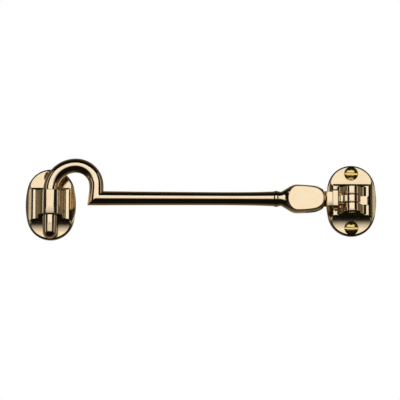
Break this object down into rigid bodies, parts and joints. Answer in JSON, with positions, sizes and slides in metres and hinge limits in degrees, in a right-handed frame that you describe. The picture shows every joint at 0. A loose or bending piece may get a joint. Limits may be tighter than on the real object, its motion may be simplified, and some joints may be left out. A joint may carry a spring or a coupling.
{
  "type": "hook and eye latch",
  "caption": "Polished brass cabin hook: a hooked arm on a two-way pivot plate, its tip dropped into the eye of an oval keeper plate.",
  "frame": {"origin": "centre of the pivot plate's back face, midway between its screws", "axes": "+Z out of the mounting surface, +X from the keeper towards the pivot plate, +Y up the wall, the way the hook arches"},
  "size_m": [0.1774, 0.0406, 0.0313],
  "materials": {
    "polished_brass": "polished and lacquered",
    "screw_brass": "bright turned brass"
  },
  "bodies": {
    "pivot_base": {"pivot_plate": "polished_brass", "pivot_pin": "polished_brass", "upper_screw": "screw_brass", "lower_screw": "screw_brass"},
    "swivel": {"swivel_knuckle": "polished_brass"},
    "arm": {"hook_arm": "polished_brass", "lift_pin": "polished_brass"},
    "keeper": {"keeper_plate": "polished_brass"}
  },
  "joints": [
    {"name": "arm_swing", "type": "hinge", "parent": "pivot_base", "child": "swivel", "pos_m": [0, 0, 0.0095], "axis": [0, 1, 0], "range_deg": [0, 180]},
    {"name": "arm_lift", "type": "hinge", "parent": "swivel", "child": "arm", "pos_m": [-0.0185, 0, 0.0095], "axis": [0, 0, -1], "range_deg": [-90, 90]},
    {"name": "keeper_release", "type": "slide", "parent": "arm", "child": "keeper", "axis": [0, -1, 0], "range_m": [0, 0.04]}
  ]
}
